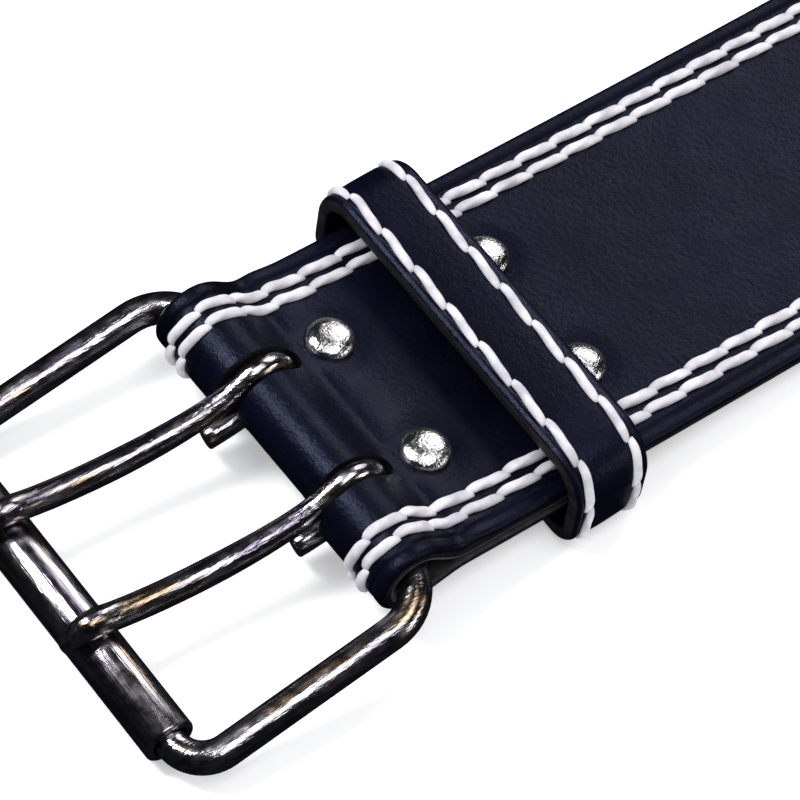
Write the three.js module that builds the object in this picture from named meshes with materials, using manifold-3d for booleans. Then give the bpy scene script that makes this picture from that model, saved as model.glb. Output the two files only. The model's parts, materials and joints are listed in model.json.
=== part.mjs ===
import * as THREE from 'three';
import { mergeVertices } from 'three/addons/utils/BufferGeometryUtils.js';
import Module from 'manifold-3d';

const wasm = await Module();
wasm.setup();

// Sizes in millimetres. X runs from the buckle bar to the tip, Y across the belt, Z up from the floor.

// Leather strap: narrow at both ends, wide over the back
const BAR_TO_TIP = 1060;
const STRAP_WIDTH = 64;
const BACK_WIDTH = 100;
const LEATHER = 3;
const FRONT_LENGTH = 290;
const FLARE_LENGTH = 110;
const BACK_LENGTH = 240;
const TIP_LENGTH = 40;
const TIP_SHOULDER = 22;
const TIP_NOSE = 18;

// The strap wraps the buckle bar and comes back under itself as a flap
const FLAP_LENGTH = 54;
const FLAP_CORNER_LENGTH = 20;
const FLAP_CORNER_DEPTH = 12;
const BAR_RISE = 1.5;
const FOLD_BULGE = 0.9;
const FOLD_CREST_ANGLE = 65;
const FOLD_HANDLE = 0.62;
const PINCH_ROOM = 0.9;
const LIFT_END = 220;

// Pairs of holes for the two prongs
const HOLE_PAIRS = 10;
const HOLE_PITCH = 25.4;
const HOLE_TO_TIP = 60;
const HOLE_RADIUS = 3.5;

// Buckle: a closed ring of round wire with a loose roller on its outer bar
const WIRE_RADIUS = 2.8;
const FRAME_LENGTH = 48;
const SIDE_ROOM = 2.2;
const FOLD_CORNER = 9.6;
const ROLLER_CORNER = 6.2;
const ROLLER_WALL = 1.4;
const ROLLER_CHAMFER = 0.4;
const ROLLER_END_ROOM = 0.5;

// Two prongs, each with an open eye round the bar and a tip over the roller. Both lean to the far side.
const PRONG_RADIUS = 2.4;
const PRONG_SPACING = 25.4;
const PRONG_HANDLE = 11;
const PRONG_TAIL = 11.5;
const PRONG_LEAN = 4.5;
const PRONG_TIP_ANGLE = 50;
const ROLLER_LEAVE_ANGLE = 112;
const EYE_MEET_ANGLE = 68;
const SLOT_ROOM = 1;
const SLOT_END_ROOM = 1;

// Dome rivets through both layers, in two rows of two
const RIVET_CAP_RADIUS = 4.4;
const RIVET_CAP_HEIGHT = 2.1;
const RIVET_RIM = 0.6;
const RIVET_SHANK_RADIUS = 1.6;
const RIVET_BASE_RADIUS = 3.7;
const RIVET_BASE_HEIGHT = 1.2;
const RIVET_BASE_CHAMFER = 0.4;
const RIVET_SPACING = 26.6;
const RIVET_FROM_SLOT = 5.8;
const RIVET_ROW_PITCH = 32.3;

// Leather loop that takes the tip. Its top leans back over the rear rivets.
const KEEPER_WIDTH = 15;
const KEEPER_ROOM = 5.4;
const KEEPER_SIDE_ROOM = 2;
const KEEPER_FOOT_CORNER = 2;
const KEEPER_TOP_CORNER = 5;
const KEEPER_LEAN = 0.08;
const KEEPER_TO_RIVET = 0.7;

// Clearance between pieces that touch
const GAP = 0.3;

// Facets
const ARC_STEPS = 20;
const CORNER_STEPS = 7;
const LIFT_STEPS = 10;
const FLAP_STEPS = 4;
const BLEND_STEPS = 7;
const OUTLINE_STEPS = 12;
const WIRE_SIDES = 18;
const PRONG_SIDES = 14;
const RIVET_SIDES = 20;
const HOLE_SIDES = 16;
const END_RING_SHARES = [0.45, 0.85];
const CUT_END_REACH = 0.25;
const MERGE_TOLERANCE = 1e-4;

// Places worked out from the sizes
const HALF_STRAP = STRAP_WIDTH / 2;
const BAR_SEAT = WIRE_RADIUS + GAP;
const EYE_RADIUS = BAR_SEAT + PRONG_RADIUS;
const SLOT_END = EYE_RADIUS + PRONG_RADIUS + SLOT_END_ROOM;
const PINCH = SLOT_END + PINCH_ROOM;
const RIVET_ROWS = [SLOT_END + RIVET_FROM_SLOT, SLOT_END + RIVET_FROM_SLOT + RIVET_ROW_PITCH];
const KEEPER_END = RIVET_ROWS[1] - RIVET_BASE_RADIUS - KEEPER_TO_RIVET;
const KEEPER_MIDDLE = KEEPER_END - KEEPER_WIDTH / 2;
const LAYERS = 2 * LEATHER + GAP;

// The keeper's lower leg lies on the floor and carries the folded strap, which sinks to the floor behind it
const LIFT = (LEATHER + GAP + LEATHER + GAP) / (1 - KEEPER_END / LIFT_END) ** 2;
const liftAt = (x) => (x < LIFT_END ? LIFT * (1 - x / LIFT_END) ** 2 : 0);
const slopeAt = (x) => (-2 * LIFT * (1 - x / LIFT_END)) / LIFT_END;

const BAR_HEIGHT = LIFT - GAP / 2 + BAR_RISE;
const CUT_HEIGHT = 4 * BAR_HEIGHT;
const ROLLER_RADIUS = BAR_SEAT + ROLLER_WALL;
const DROOP = Math.asin((BAR_HEIGHT - ROLLER_RADIUS) / FRAME_LENGTH);
const FRAME_HALF_WIDTH = HALF_STRAP + SIDE_ROOM + WIRE_RADIUS;
const ROLLER_HALF_LENGTH = FRAME_HALF_WIDTH - ROLLER_CORNER - ROLLER_END_ROOM;

const radians = THREE.MathUtils.degToRad;
const onCircle = (centre, radius, angle) =>
  new THREE.Vector2(centre.x + radius * Math.cos(angle), centre.y + radius * Math.sin(angle));

function arcPoints(centre, radius, from, to, steps) {
  return Array.from({ length: steps + 1 }, (_, i) =>
    onCircle(centre, radius, from + ((to - from) * i) / steps));
}

// A smooth bridge between two points, leaving and arriving along the given directions
function blendPoints(start, leave, end, arrive, handle) {
  const first = start.clone().addScaledVector(leave, handle);
  const second = end.clone().addScaledVector(arrive, -handle);
  return new THREE.CubicBezierCurve(start, first, second, end).getPoints(BLEND_STEPS);
}

// Unit normals to the left of a run of points
function leftNormals(points, closed) {
  const last = points.length - 1;
  return points.map((point, i) => {
    const before = points[i > 0 ? i - 1 : closed ? last : 0];
    const after = points[i < last ? i + 1 : closed ? 0 : last];
    const into = point.clone().sub(before).normalize();
    const out = after.clone().sub(point).normalize();
    const along = into.add(out).normalize();
    return new THREE.Vector2(-along.y, along.x);
  });
}

// A round wire along points in the XY plane. An open wire gets rings for its rounded ends.
function wireGeometry(points, radius, sides, closed) {
  const normals = leftNormals(points, closed);
  const rings = points.map((point, i) => ({ point, normal: normals[i], radius }));
  if (!closed) {
    const endRing = (i, side, share) => {
      const along = new THREE.Vector2(normals[i].y, -normals[i].x);
      const reach = side * radius * Math.sqrt(1 - share * share);
      const point = points[i].clone().addScaledVector(along, reach);
      return { point, normal: normals[i], radius: radius * share };
    };
    const last = points.length - 1;
    rings.unshift(...END_RING_SHARES.map((share) => endRing(0, -1, share)));
    rings.push(endRing(last, CUT_END_REACH, END_RING_SHARES[1]));
  }
  const positions = [];
  for (const ring of rings) {
    for (let j = 0; j < sides; j += 1) {
      const angle = (2 * Math.PI * j) / sides;
      const side = ring.radius * Math.cos(angle);
      positions.push(ring.point.x + side * ring.normal.x, ring.point.y + side * ring.normal.y);
      positions.push(ring.radius * Math.sin(angle));
    }
  }
  const index = [];
  const joins = closed ? rings.length : rings.length - 1;
  for (let i = 0; i < joins; i += 1) {
    const here = i * sides;
    const next = ((i + 1) % rings.length) * sides;
    for (let j = 0; j < sides; j += 1) {
      const k = (j + 1) % sides;
      index.push(here + j, here + k, next + k, here + j, next + k, next + j);
    }
  }
  if (!closed) {
    const end = (rings.length - 1) * sides;
    for (let j = 1; j < sides - 1; j += 1) {
      index.push(0, j + 1, j, end, end + j, end + j + 1);
    }
  }
  const geometry = new THREE.BufferGeometry();
  geometry.setAttribute('position', new THREE.Float32BufferAttribute(positions, 3));
  geometry.setIndex(index);
  return geometry;
}

function solidOf(geometry) {
  const bare = geometry.clone();
  bare.deleteAttribute('normal');
  bare.deleteAttribute('uv');
  const merged = mergeVertices(bare, MERGE_TOLERANCE);
  const vertProperties = new Float32Array(merged.attributes.position.array);
  const triVerts = new Uint32Array(merged.index.array);
  return new wasm.Manifold(new wasm.Mesh({ numProp: 3, vertProperties, triVerts }));
}

function geometryOf(solid) {
  const mesh = solid.getMesh();
  const geometry = new THREE.BufferGeometry();
  geometry.setAttribute('position', new THREE.Float32BufferAttribute(mesh.vertProperties, 3));
  geometry.setIndex(Array.from(mesh.triVerts));
  return geometry;
}

// A side view in X and Z, given as an outline, extruded across the belt between two values of Y
function acrossBelt(outline, fromY, toY) {
  const shape = new THREE.Shape(outline);
  const geometry = new THREE.ExtrudeGeometry(shape, { depth: toY - fromY, bevelEnabled: false });
  return geometry.rotateX(Math.PI / 2).translate(0, toY, 0);
}

// The strap's side view: tip, lifted front, round the bar, flap. Inner radius and centre shape the fold.
function strapSideView(foldCentreX, foldInnerRadius) {
  const half = LEATHER / 2;
  const centre = new THREE.Vector2(foldCentreX, BAR_HEIGHT);
  const radius = foldInnerRadius + half;
  const topEnd = new THREE.Vector2(PINCH, liftAt(PINCH) + half);
  const flapStart = new THREE.Vector2(PINCH, liftAt(PINCH) - GAP - half);
  const slope = new THREE.Vector2(1, slopeAt(PINCH)).normalize();
  const handle = radius * FOLD_HANDLE;

  const line = [new THREE.Vector2(BAR_TO_TIP + GAP, half), new THREE.Vector2(LIFT_END, half)];
  for (let i = LIFT_STEPS - 1; i > 0; i -= 1) {
    const x = PINCH + ((LIFT_END - PINCH) * i) / LIFT_STEPS;
    line.push(new THREE.Vector2(x, liftAt(x) + half));
  }
  const crest = radians(FOLD_CREST_ANGLE);
  const leaveTop = new THREE.Vector2(-Math.sin(crest), Math.cos(crest));
  const onCrest = onCircle(centre, radius, crest);
  line.push(...blendPoints(topEnd, slope.clone().negate(), onCrest, leaveTop, handle));
  line.push(...arcPoints(centre, radius, crest, 1.5 * Math.PI, ARC_STEPS).slice(1));
  const bottom = onCircle(centre, radius, 1.5 * Math.PI);
  line.push(...blendPoints(bottom, new THREE.Vector2(1, 0), flapStart, slope, handle).slice(1));
  for (let i = 1; i <= FLAP_STEPS; i += 1) {
    const x = PINCH + ((FLAP_LENGTH - PINCH) * i) / FLAP_STEPS;
    line.push(new THREE.Vector2(x, liftAt(x) - GAP - half));
  }

  const normals = leftNormals(line, false);
  const inner = line.map((point, i) => point.clone().addScaledVector(normals[i], half));
  const outer = line.map((point, i) => point.clone().addScaledVector(normals[i], -half));
  return inner.concat(outer.reverse());
}

// The strap seen from above
function strapOutline() {
  const halfBack = BACK_WIDTH / 2;
  const foldEnd = -BAR_HEIGHT - LEATHER;
  const backStart = FRONT_LENGTH + FLARE_LENGTH;
  const backEnd = backStart + BACK_LENGTH;
  const flareMiddles = [FRONT_LENGTH + FLARE_LENGTH / 2, backEnd + FLARE_LENGTH / 2];
  const tailStart = backEnd + FLARE_LENGTH;
  const tipStart = BAR_TO_TIP - TIP_LENGTH;
  const shape = new THREE.Shape();
  shape.moveTo(foldEnd, -HALF_STRAP);
  shape.lineTo(FRONT_LENGTH, -HALF_STRAP);
  shape.bezierCurveTo(flareMiddles[0], -HALF_STRAP, flareMiddles[0], -halfBack, backStart, -halfBack);
  shape.lineTo(backEnd, -halfBack);
  shape.bezierCurveTo(flareMiddles[1], -halfBack, flareMiddles[1], -HALF_STRAP, tailStart, -HALF_STRAP);
  shape.lineTo(tipStart, -HALF_STRAP);
  shape.bezierCurveTo(tipStart + TIP_SHOULDER, -HALF_STRAP, BAR_TO_TIP, -TIP_NOSE, BAR_TO_TIP, 0);
  shape.bezierCurveTo(BAR_TO_TIP, TIP_NOSE, tipStart + TIP_SHOULDER, HALF_STRAP, tipStart, HALF_STRAP);
  shape.lineTo(tailStart, HALF_STRAP);
  shape.bezierCurveTo(flareMiddles[1], HALF_STRAP, flareMiddles[1], halfBack, backEnd, halfBack);
  shape.lineTo(backStart, halfBack);
  shape.bezierCurveTo(flareMiddles[0], halfBack, flareMiddles[0], HALF_STRAP, FRONT_LENGTH, HALF_STRAP);
  shape.lineTo(foldEnd, HALF_STRAP);
  shape.closePath();
  return shape;
}

// A slot through both layers at the fold, open to the front, with a round rear end
function slotGeometry(y) {
  const half = PRONG_RADIUS + SLOT_ROOM;
  const front = -BAR_HEIGHT - LEATHER;
  const shape = new THREE.Shape();
  shape.moveTo(front, y - half);
  shape.lineTo(SLOT_END - half, y - half);
  shape.absarc(SLOT_END - half, y, half, -Math.PI / 2, Math.PI / 2, false);
  shape.lineTo(front, y + half);
  shape.closePath();
  const options = { depth: CUT_HEIGHT, bevelEnabled: false, curveSegments: CORNER_STEPS };
  return new THREE.ExtrudeGeometry(shape, options).translate(0, 0, -BAR_HEIGHT);
}

// What the flap's rounded end leaves free, under the upper layer only
function flapCorners() {
  const start = FLAP_LENGTH - FLAP_CORNER_LENGTH;
  const end = FLAP_LENGTH + GAP;
  const under = [new THREE.Vector2(start, -GAP), new THREE.Vector2(end, -GAP)];
  for (let i = FLAP_STEPS; i >= 0; i -= 1) {
    const x = start + ((end - start) * i) / FLAP_STEPS;
    under.push(new THREE.Vector2(x, liftAt(x) - GAP / 2));
  }
  const middle = HALF_STRAP - FLAP_CORNER_DEPTH;
  const quarter = Math.PI / 2;
  const kept = new THREE.Shape();
  kept.moveTo(start - GAP, -HALF_STRAP);
  kept.lineTo(start, -HALF_STRAP);
  kept.absellipse(start, -middle, FLAP_CORNER_LENGTH, FLAP_CORNER_DEPTH, -quarter, 0, false);
  kept.absellipse(start, middle, FLAP_CORNER_LENGTH, FLAP_CORNER_DEPTH, 0, quarter, false);
  kept.lineTo(start - GAP, HALF_STRAP);
  kept.closePath();
  const options = { depth: CUT_HEIGHT, bevelEnabled: false, curveSegments: CORNER_STEPS };
  const tongue = new THREE.ExtrudeGeometry(kept, options).translate(0, 0, -BAR_HEIGHT);
  const all = acrossBelt(under, -HALF_STRAP - GAP, HALF_STRAP + GAP);
  return solidOf(all).subtract(solidOf(tongue));
}

function pinGeometry(x, y, z, radius, height, tilt) {
  const pin = new THREE.CylinderGeometry(radius, radius, height, HOLE_SIDES).rotateX(Math.PI / 2);
  return pin.rotateY(tilt).translate(x, y, z);
}

// The strap's upper face over a place along the belt, and its tilt there
const faceAt = (x) => liftAt(x) + LEATHER;
const tiltAt = (x) => -Math.atan(slopeAt(x));

function beltBody() {
  const halfBack = BACK_WIDTH / 2 + GAP;
  const prongY = PRONG_SPACING / 2;
  const wideFold = strapSideView(-FOLD_BULGE, BAR_SEAT + FOLD_BULGE);
  const tightFold = strapSideView(0, BAR_SEAT);
  const sides = solidOf(acrossBelt(wideFold, -halfBack, -prongY))
    .add(solidOf(acrossBelt(wideFold, prongY, halfBack)));
  // The middle reaches into the slots, so that it joins the sides behind them
  const block = sides.add(solidOf(acrossBelt(tightFold, -prongY - GAP, prongY + GAP)));
  const outline = new THREE.ExtrudeGeometry(strapOutline(), {
    depth: CUT_HEIGHT,
    bevelEnabled: false,
    curveSegments: OUTLINE_STEPS,
  });
  let body = block.intersect(solidOf(outline.translate(0, 0, -BAR_HEIGHT))).subtract(flapCorners());
  for (const side of [-1, 1]) {
    body = body.subtract(solidOf(slotGeometry(side * prongY)));
    for (const x of RIVET_ROWS) {
      const y = (side * RIVET_SPACING) / 2;
      const middle = faceAt(x) - LAYERS / 2;
      const radius = RIVET_SHANK_RADIUS + GAP;
      body = body.subtract(solidOf(pinGeometry(x, y, middle, radius, 2 * LAYERS, tiltAt(x))));
    }
    for (let i = 0; i < HOLE_PAIRS; i += 1) {
      const x = BAR_TO_TIP - HOLE_TO_TIP - i * HOLE_PITCH;
      const middle = liftAt(x) + LEATHER / 2;
      body = body.subtract(solidOf(pinGeometry(x, side * prongY, middle, HOLE_RADIUS, 2 * LEATHER, 0)));
    }
  }
  return geometryOf(body);
}

// A loop with round upper and tight lower corners, seen along the belt, extruded over the keeper's width
function keeperLoop() {
  const ceiling = faceAt(KEEPER_MIDDLE) + KEEPER_ROOM;
  const side = HALF_STRAP + KEEPER_SIDE_ROOM;
  const foot = new THREE.Vector2(side - KEEPER_FOOT_CORNER, LEATHER + KEEPER_FOOT_CORNER);
  const top = new THREE.Vector2(side - KEEPER_TOP_CORNER, ceiling - KEEPER_TOP_CORNER);
  const quarter = Math.PI / 2;
  const loop = (target, thickness) => {
    const footRadius = KEEPER_FOOT_CORNER + thickness;
    const topRadius = KEEPER_TOP_CORNER + thickness;
    target.moveTo(-foot.x, foot.y - footRadius);
    target.absarc(foot.x, foot.y, footRadius, -quarter, 0, false);
    target.absarc(top.x, top.y, topRadius, 0, quarter, false);
    target.absarc(-top.x, top.y, topRadius, quarter, 2 * quarter, false);
    target.absarc(-foot.x, foot.y, footRadius, 2 * quarter, 3 * quarter, false);
    return target;
  };
  const shape = loop(new THREE.Shape(), LEATHER);
  shape.holes.push(loop(new THREE.Path(), 0));
  const options = { depth: KEEPER_WIDTH, bevelEnabled: false, curveSegments: CORNER_STEPS };
  const geometry = new THREE.ExtrudeGeometry(shape, options);
  const along = new THREE.Matrix4().makeBasis(
    new THREE.Vector3(0, 1, 0),
    new THREE.Vector3(KEEPER_LEAN, 0, 1),
    new THREE.Vector3(1, 0, 0),
  );
  return geometry.applyMatrix4(along).translate(KEEPER_END - KEEPER_WIDTH, 0, 0);
}

// Dome cap, shank and base in one, standing on the strap's upper face at height zero
function rivet() {
  const under = -LAYERS - GAP;
  const bottom = under - RIVET_BASE_HEIGHT;
  const rimTop = GAP + RIVET_RIM;
  const domeHeight = RIVET_CAP_HEIGHT - RIVET_RIM;
  const profile = [
    new THREE.Vector2(0, bottom),
    new THREE.Vector2(RIVET_BASE_RADIUS - RIVET_BASE_CHAMFER, bottom),
    new THREE.Vector2(RIVET_BASE_RADIUS, bottom + RIVET_BASE_CHAMFER),
    new THREE.Vector2(RIVET_BASE_RADIUS, under),
    new THREE.Vector2(RIVET_SHANK_RADIUS, under),
    new THREE.Vector2(RIVET_SHANK_RADIUS, GAP),
    new THREE.Vector2(RIVET_CAP_RADIUS, GAP),
  ];
  for (let i = 0; i < CORNER_STEPS; i += 1) {
    const angle = (Math.PI / 2) * (i / CORNER_STEPS);
    const out = RIVET_CAP_RADIUS * Math.cos(angle);
    profile.push(new THREE.Vector2(out, rimTop + domeHeight * Math.sin(angle)));
  }
  profile.push(new THREE.Vector2(0, rimTop + domeHeight));
  return new THREE.LatheGeometry(profile, RIVET_SIDES).rotateX(Math.PI / 2);
}

// The ring lies in the XY plane with its bar on the Y axis and its roller bar on the side of minus X
function buckleFrame() {
  const inner = FRAME_HALF_WIDTH - FOLD_CORNER;
  const outer = FRAME_HALF_WIDTH - ROLLER_CORNER;
  const far = ROLLER_CORNER - FRAME_LENGTH;
  const quarter = Math.PI / 2;
  const corner = (x, y, radius, from) =>
    arcPoints(new THREE.Vector2(x, y), radius, from, from + quarter, CORNER_STEPS);
  const path = [
    ...corner(-FOLD_CORNER, inner, FOLD_CORNER, 0),
    ...corner(far, outer, ROLLER_CORNER, quarter),
    ...corner(far, -outer, ROLLER_CORNER, 2 * quarter),
    ...corner(-FOLD_CORNER, -inner, FOLD_CORNER, 3 * quarter),
  ];
  return wireGeometry(path, WIRE_RADIUS, WIRE_SIDES, true);
}

function roller() {
  const end = ROLLER_HALF_LENGTH;
  const cut = ROLLER_RADIUS - ROLLER_CHAMFER;
  const profile = [
    new THREE.Vector2(BAR_SEAT, -end),
    new THREE.Vector2(cut, -end),
    new THREE.Vector2(ROLLER_RADIUS, ROLLER_CHAMFER - end),
    new THREE.Vector2(ROLLER_RADIUS, end - ROLLER_CHAMFER),
    new THREE.Vector2(cut, end),
    new THREE.Vector2(BAR_SEAT, end),
    new THREE.Vector2(BAR_SEAT, -end),
  ];
  return new THREE.LatheGeometry(profile, ARC_STEPS);
}

// Side view of a prong, with the bar at the origin and the roller on the side of minus X
function prong() {
  const rollerCentre = new THREE.Vector2(-FRAME_LENGTH / Math.cos(radians(PRONG_LEAN)), 0);
  const bar = new THREE.Vector2(0, 0);
  const tipRadius = ROLLER_RADIUS + GAP + PRONG_RADIUS;
  const leave = Math.PI - radians(ROLLER_LEAVE_ANGLE);
  const meet = Math.PI - radians(EYE_MEET_ANGLE);
  const tip = Math.PI - radians(PRONG_TIP_ANGLE);
  const overRoller = arcPoints(rollerCentre, tipRadius, tip, leave, CORNER_STEPS);
  const eye = arcPoints(bar, EYE_RADIUS, meet, -Math.PI / 2, ARC_STEPS);
  const shaft = blendPoints(
    overRoller[CORNER_STEPS],
    new THREE.Vector2(Math.sin(leave), -Math.cos(leave)),
    eye[0],
    new THREE.Vector2(Math.sin(meet), -Math.cos(meet)),
    PRONG_HANDLE,
  );
  const tail = new THREE.Vector2(-PRONG_TAIL, -EYE_RADIUS);
  const path = [...overRoller, ...shaft.slice(1, -1), ...eye, tail];
  return wireGeometry(path, PRONG_RADIUS, PRONG_SIDES, false).rotateX(Math.PI / 2);
}

const leather = { color: 0x17181d, roughness: 0.55, metalness: 0 };
const steel = { color: 0x8b8d92, roughness: 0.15, metalness: 1 };
const nickel = { color: 0xbab7ae, roughness: 0.25, metalness: 1 };

function piece(name, geometry, look) {
  const mesh = new THREE.Mesh(geometry, new THREE.MeshStandardMaterial(look));
  mesh.name = name;
  return mesh;
}

// The buckle's own group turns about the bar until the roller lies on the floor
function buckle() {
  const group = new THREE.Group();
  group.position.z = BAR_HEIGHT;
  group.rotation.y = -DROOP;
  group.add(piece('buckle_frame', buckleFrame(), steel));
  const rollerMesh = piece('roller', roller(), steel);
  rollerMesh.position.x = -FRAME_LENGTH;
  group.add(rollerMesh);
  for (const [name, side] of [['prong_near', -1], ['prong_far', 1]]) {
    const mesh = piece(name, prong(), steel);
    mesh.position.y = (side * PRONG_SPACING) / 2;
    mesh.rotation.z = -radians(PRONG_LEAN);
    group.add(mesh);
  }
  return group;
}

function rivets() {
  const group = new THREE.Group();
  for (const [row, x] of [['front', RIVET_ROWS[0]], ['rear', RIVET_ROWS[1]]]) {
    for (const [place, side] of [['near', -1], ['far', 1]]) {
      const mesh = piece(`rivet_${row}_${place}`, rivet(), nickel);
      mesh.position.set(x, (side * RIVET_SPACING) / 2, faceAt(x));
      mesh.rotation.y = tiltAt(x);
      group.add(mesh);
    }
  }
  return group;
}

const belt = new THREE.Group();
belt.add(piece('belt_body', beltBody(), leather));
belt.add(piece('keeper_loop', keeperLoop(), leather));
belt.add(buckle(), rivets());

// The origin is under the middle of the whole belt, on the floor
const bounds = new THREE.Box3().setFromObject(belt);
belt.position.x = -(bounds.min.x + bounds.max.x) / 2;

export default belt;
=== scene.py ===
import json
import math
from bisect import bisect_left

import bpy
from mathutils import Matrix, Vector, geometry, noise


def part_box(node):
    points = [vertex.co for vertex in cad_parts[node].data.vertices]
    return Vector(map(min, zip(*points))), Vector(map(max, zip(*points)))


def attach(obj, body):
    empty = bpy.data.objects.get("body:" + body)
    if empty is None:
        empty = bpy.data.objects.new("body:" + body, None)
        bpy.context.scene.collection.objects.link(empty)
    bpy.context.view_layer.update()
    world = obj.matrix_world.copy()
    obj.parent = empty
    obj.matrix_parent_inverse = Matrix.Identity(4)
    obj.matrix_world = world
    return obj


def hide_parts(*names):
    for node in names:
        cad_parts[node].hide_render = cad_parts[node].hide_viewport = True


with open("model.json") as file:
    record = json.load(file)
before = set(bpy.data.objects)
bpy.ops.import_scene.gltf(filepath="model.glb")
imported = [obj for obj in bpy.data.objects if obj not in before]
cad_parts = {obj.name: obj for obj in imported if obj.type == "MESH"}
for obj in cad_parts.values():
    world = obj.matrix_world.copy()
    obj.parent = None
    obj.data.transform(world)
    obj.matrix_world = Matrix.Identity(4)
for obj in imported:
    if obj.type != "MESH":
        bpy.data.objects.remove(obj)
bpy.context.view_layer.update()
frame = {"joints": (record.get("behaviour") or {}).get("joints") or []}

# Lengths are in millimetres until to_row turns them into the row's metres.
# X runs from the buckle bar to the tip, Y across the belt, Z up from the floor.
MM = 0.001

# Places read from the frame
joint_places = {joint["name"]: Vector(joint["pos_m"]) for joint in frame["joints"]}
BAR = joint_places["buckle_hinge"]
ROLLER_AXIS = joint_places["roller_spin"]


def node_box(name):
    """A CAD node's lowest and highest corners in millimetres from the bar."""
    low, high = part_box(name)
    shift = Vector((BAR.x, 0, 0))
    return (low - shift) / MM, (high - shift) / MM


def to_row(point):
    return Vector((point.x * MM + BAR.x, point.y * MM, point.z * MM))


body_low, body_high = node_box("belt_body")
keeper_low, keeper_high = node_box("keeper_loop")
ring_low, ring_high = node_box("buckle_frame")
roller_low, roller_high = node_box("roller")
RIVET_NODES = ("rivet_front_near", "rivet_front_far", "rivet_rear_near", "rivet_rear_far")
rivet_boxes = {name: node_box(name) for name in RIVET_NODES}

BAR_TO_TIP = body_high.x
HALF_BACK = body_high.y
BAR_HEIGHT = BAR.z / MM
FRAME_LENGTH = (BAR - ROLLER_AXIS).length / MM
DROOP = math.atan2(BAR.z - ROLLER_AXIS.z, BAR.x - ROLLER_AXIS.x)

# Leather strap, as the solid has it
HALF_STRAP = 32.0
LEATHER = 3.0
FRONT_LENGTH = 290.0
FLARE_LENGTH = 110.0
BACK_LENGTH = 240.0
TIP_LENGTH = 40.0
TIP_SHOULDER = 22.0
TIP_NOSE = 18.0
FLAP_LENGTH = 54.0
FLAP_CORNER_LENGTH = 20.0
FLAP_CORNER_DEPTH = 12.0
FOLD_BULGE = 0.9
LIFT_END = 220.0
GAP = 0.3

# Holes for the prongs
HOLE_PAIRS = 10
HOLE_PITCH = 25.4
HOLE_TO_TIP = 60.0
HOLE_RADIUS = 3.5

# Buckle
WIRE_RADIUS = 2.8
FOLD_CORNER = 9.6
ROLLER_CORNER = 6.2
ROLLER_WALL = 1.4
PRONG_Y = 12.7
PRONG_RADIUS = 2.4
PRONG_TIP_HALF_WIDTH = 2.0
PRONG_TIP_HALF_HEIGHT = 1.5
PRONG_EYE_RADIUS = 2.0
PRONG_HANDLE = 11.0
PRONG_TAIL = 11.5
PRONG_LEAN = math.radians(4.5)
LEAN_START = 7.0
LEAN_SOFTNESS = 7.0
PRONG_TIP_ANGLE = 50.0
ROLLER_LEAVE_ANGLE = 112.0
EYE_MEET_ANGLE = 68.0
SLOT_ROOM = 0.45
SLOT_END_ROOM = 1.0
PINCH_ROOM = 1.7

# Keeper: its top leans back over the rear rivets, and the loop sits a little askew
KEEPER_SIDE_ROOM = 2.0
KEEPER_FOOT_CORNER = 2.0
KEEPER_TOP_CORNER = 5.0
KEEPER_LEAN = 0.08
KEEPER_SKEW = 0.015

# Surface detail of the leather
EDGE_ROUND = 1.0
CREASE_INSET = 2.7
CREASE_DEPTH = 0.22
CREASE_WIDTH = 0.3
SEAM_INSETS = (5.1, 8.2)
SEAM_TROUGH = 0.2
SEAM_TROUGH_WIDTH = 2.4
RIVET_DENT = 0.45
RIVET_DENT_REACH = 3.0
SLOT_LIP = 0.3
UNEVEN = 0.16
VALLEY_FILL = 0.8
VALLEY_REACH = 3.6
EDGE_STEPS = (0, 0.1, 0.35, 0.7, 1.0, 1.6, 2.2, 2.5, 2.7, 2.9, 3.2, 3.9, 4.9, 6.0)

# Thread
STITCH_PITCH = 7.7
KEEPER_STITCH_PITCH = 9.1
KEEPER_SEAM_INSET = 2.6
THREAD_RADIUS = 0.93
KEEPER_THREAD_RADIUS = 0.8
STITCH_LENGTH_SHARE = 1.07
STITCH_SLANT = 0.085
THREAD_PLIES = 3
THREAD_TWIST = 9.0

# Places worked out from the sizes
half_leather = LEATHER / 2
bar_seat = WIRE_RADIUS + GAP
slot_half = PRONG_EYE_RADIUS + SLOT_ROOM
slot_end = bar_seat + 2 * PRONG_EYE_RADIUS + SLOT_END_ROOM
pinch = slot_end + PINCH_ROOM
roller_radius = bar_seat + ROLLER_WALL
tip_start = BAR_TO_TIP - TIP_LENGTH
keeper_end = keeper_high.x - KEEPER_LEAN * keeper_high.z
LIFT = 2 * (LEATHER + GAP) / (1 - keeper_end / LIFT_END) ** 2


def lift_at(x):
    return LIFT * (1 - x / LIFT_END) ** 2 if x < LIFT_END else 0.0


def slope_at(x):
    return -2 * LIFT * (1 - x / LIFT_END) / LIFT_END if x < LIFT_END else 0.0


def face_at(x):
    return lift_at(x) + LEATHER


def steps(first, last, count):
    """Evenly spaced values, both ends included."""
    return [first + (last - first) * i / count for i in range(count + 1)]


def smooth(share):
    share = min(1.0, max(0.0, share))
    return share * share * (3 - 2 * share)


def hump(distance, width):
    return math.exp(-((distance / width) ** 2))


def arc(centre, radius, start, end, count):
    return [
        centre + radius * Vector((math.cos(a), math.sin(a)))
        for a in steps(start, end, count)
    ]


def bezier(start, first, second, end, count):
    points = []
    for t in steps(0, 1, count):
        s = 1 - t
        points.append(s**3 * start + 3 * s * s * t * first + 3 * s * t * t * second + t**3 * end)
    return points


def blend(start, leave, end, arrive, handle, count):
    return bezier(start, start + leave * handle, end - arrive * handle, end, count)


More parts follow.
